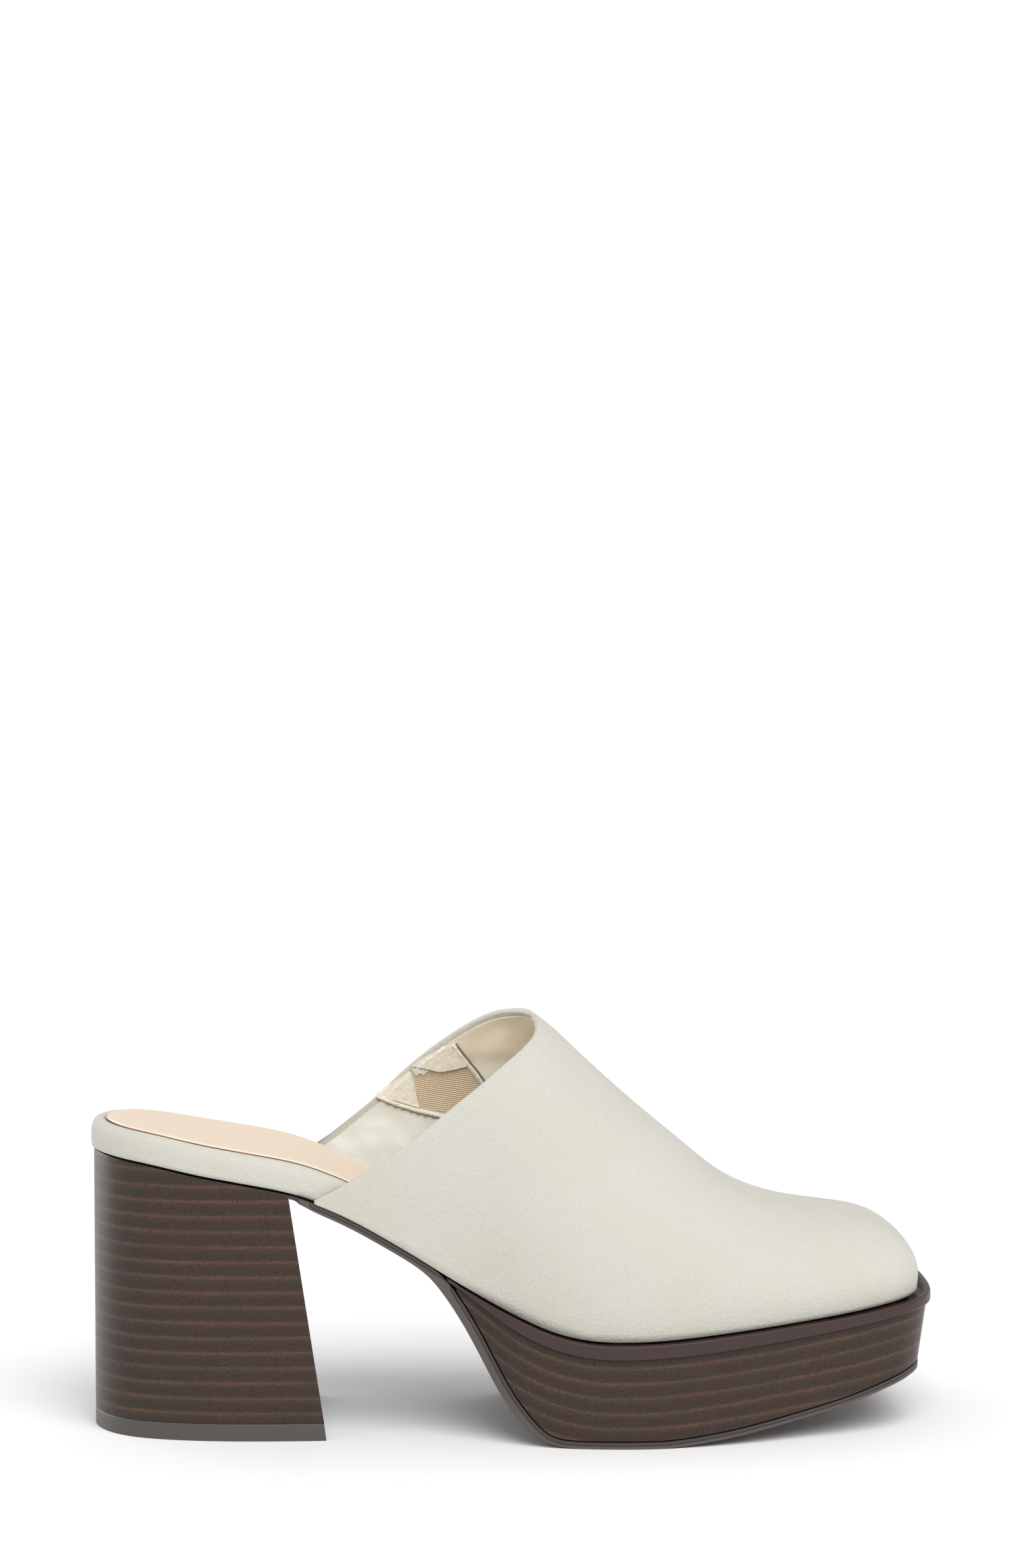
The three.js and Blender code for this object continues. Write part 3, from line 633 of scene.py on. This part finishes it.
# The darker elastic colour is painted shade in the troughs between the ribs.
ELASTIC_TROUGH_SHADE = (0.6, 0.47, 0.32)
SUEDE_CREAM = (0.88, 0.83, 0.7)
CLOTH_RAW = (0.8, 0.77, 0.66)
SUEDE_GRAIN = 700
WALL_STEP = 0.05 * MM
NEAR_END = 0.9999  # keeps the end of a row of points in its last stretch

inner_wall = BVHTree.FromObject(lining, bpy.context.evaluated_depsgraph_get())
turned_wall = BVHTree.FromObject(upper, bpy.context.evaluated_depsgraph_get())


def on_wall(x, z, lift):
    """A place on the inside of the inner side, lifted off it. Above the collar it is on the fold."""
    hits = []
    while not hits:
        rays = [wall.ray_cast(Vector((x, 0, z)), Vector((0, 1, 0))) for wall in (inner_wall, turned_wall)]
        hits = [ray[0] for ray in rays if ray[0]]
        z -= WALL_STEP
    return min(hits, key=lambda hit: hit.y) - Vector((0, lift, 0))


def along(points, share):
    spot = min(share, NEAR_END) * (len(points) - 1)
    first, second = points[int(spot)], points[int(spot) + 1]
    part = spot - int(spot)
    return Vector([(a + (b - a) * part) * MM for a, b in zip(first, second)])


def spread(points, count):
    return [tuple(along(points, i / (count - 1))) for i in range(count)]


def wall_sheet(name, low, high, lift, thickness, material):
    """A flat piece that lies on the wall between a lower and an upper edge."""
    bpy.ops.object.select_all(action="DESELECT")
    bpy.ops.mesh.primitive_grid_add(x_subdivisions=SHEET_COLUMNS, y_subdivisions=SHEET_ROWS, size=2)
    piece = bpy.context.active_object
    piece.name = name
    piece.data.name = name
    for vertex in piece.data.vertices:
        across, up = (vertex.co.x + 1) / 2, (vertex.co.y + 1) / 2
        x, z = along(low, across).lerp(along(high, across), up)
        vertex.co = on_wall(x, z, lift)
    apply_modifier(piece, "SOLIDIFY", thickness=thickness, offset=1)
    bpy.ops.object.mode_set(mode="EDIT")
    bpy.ops.mesh.select_all(action="SELECT")
    bpy.ops.mesh.normals_make_consistent(inside=False)
    bpy.ops.object.mode_set(mode="OBJECT")
    smooth_shading(piece, THIN_EDGE)
    piece.data.materials.append(material)
    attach(piece, "root")


def wall_cord(name, runs, radius, lift, material):
    """Round cords along the wall, one for each run of points, as one mesh."""
    bpy.ops.object.select_all(action="DESELECT")
    route = bpy.data.curves.new(name, "CURVE")
    route.dimensions = "3D"
    route.bevel_depth = radius
    route.bevel_resolution = 2
    route.use_fill_caps = True
    for run in runs:
        spline = route.splines.new("POLY")
        spline.points.add(len(run) - 1)
        for point, (x, z) in zip(spline.points, run):
            point.co = (*on_wall(x, z, lift), 1)
    piece = bpy.data.objects.new(name, route)
    bpy.context.collection.objects.link(piece)
    piece.select_set(True)
    bpy.context.view_layer.objects.active = piece
    bpy.ops.object.convert(target="MESH")
    smooth_shading(piece)
    piece.data.materials.append(material)
    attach(piece, "root")


def suede(name, color, grain):
    made = new_material(name, color, roughness=0.95, Sheen_Weight=0.15, Sheen_Roughness=0.5)
    shaded(made, color, speckle(made, SUEDE_GRAIN, low=0.88, high=1.06))
    roughened(made, speckle(made, SUEDE_GRAIN), strength=0.7, depth=grain)
    return made


def ribbed_elastic():
    made = new_material("ribbed_elastic", ELASTIC_TAN, roughness=0.9)
    place = node(made, "TexCoord").outputs["Object"]
    turned = node(made, "Mapping", {"Vector": place, "Rotation": (0, GORE_TURN, 0)}).outputs["Vector"]
    ribs = node(made, "TexWave", {"Vector": turned, "Scale": WAVE_TURN / GORE_RIB, "Distortion": 0.5,
                                  "Detail": 1}, bands_direction="Z")
    rungs = node(made, "TexWave", {"Vector": turned, "Scale": WAVE_TURN / GORE_RUNG}, bands_direction="X")
    knit = node(made, "Math", {0: rungs.outputs["Fac"], 1: 0.25, 2: ribs.outputs["Fac"]},
                operation="MULTIPLY_ADD")
    # Where the knit is low, between the ribs, the colour turns to painted shade.
    to_shader(made, "Base Color", mixed(made, knit.outputs[0], ELASTIC_TROUGH_SHADE, ELASTIC_TAN))
    roughened(made, knit.outputs[0], strength=0.8, depth=0.3 * MM)
    return made


CREAM_SUEDE = suede("cream_suede", SUEDE_CREAM, grain=0.18 * MM)
RAW_CLOTH = suede("raw_cloth", CLOTH_RAW, grain=0.3 * MM)
CUT_BROWN = new_material("brown_cut", (0.3, 0.2, 0.13), roughness=0.8)
SEAM_SHADOW = new_material("seam_shadow", (0.2, 0.16, 0.1), roughness=0.9)

wall_sheet("elastic_gore", GORE_LOW, GORE_HIGH, lift=0.05 * MM, thickness=0.3 * MM,
           material=ribbed_elastic())
wall_sheet("suede_patch", PATCH_LOW, PATCH_HIGH, lift=0.05 * MM, thickness=0.45 * MM, material=CREAM_SUEDE)
wall_sheet("frayed_end", FRAY_LOW, FRAY_HIGH, lift=0.55 * MM, thickness=0.25 * MM, material=RAW_CLOTH)
wall_sheet("suede_flap", FLAP_LOW, FLAP_HIGH, lift=0.45 * MM, thickness=0.5 * MM, material=CREAM_SUEDE)
flap_edge = spread(FLAP_LOW, FLAP_POINTS)
wall_cord("flap_cut_edge", [flap_edge], radius=0.17 * MM, lift=0.9 * MM, material=CUT_BROWN)

piping = spread(FRONT_SEAM, SEAM_POINTS)
wall_cord("front_piping", [piping], radius=0.7 * MM, lift=0.3 * MM, material=RAW_CLOTH)
beside = [(x + FRONT_LINE[0], z + FRONT_LINE[1]) for x, z in piping]
wall_cord("front_seam_line", [beside], radius=0.3 * MM, lift=0.15 * MM, material=SEAM_SHADOW)
knot = [(x * MM, z * MM) for x, z in KNOT]
wall_cord("seam_knot", [knot], radius=0.75 * MM, lift=0.5 * MM, material=RAW_CLOTH)

ridge = spread(LOWER_SEAM, SEAM_POINTS)
wall_cord("lower_seam_ridge", [ridge], radius=0.65 * MM, lift=0.25 * MM, material=RAW_CLOTH)
under = [(x, z - LOWER_LINE) for x, z in spread(LOWER_SEAM, STITCHED_POINTS)]
wall_cord("lower_seam_line", [under], radius=0.2 * MM, lift=0.1 * MM, material=SEAM_SHADOW)
stitches = []
for i in range(STITCHES):
    start = LOWER_SEAM[0][0] * MM + i * STITCH_PITCH
    run = [(x, z) for x, z in under if start <= x <= start + STITCH]
    if len(run) > 1:
        stitches.append(run)
wall_cord("lower_stitches", stitches, radius=0.38 * MM, lift=0.35 * MM, material=CUT_BROWN)


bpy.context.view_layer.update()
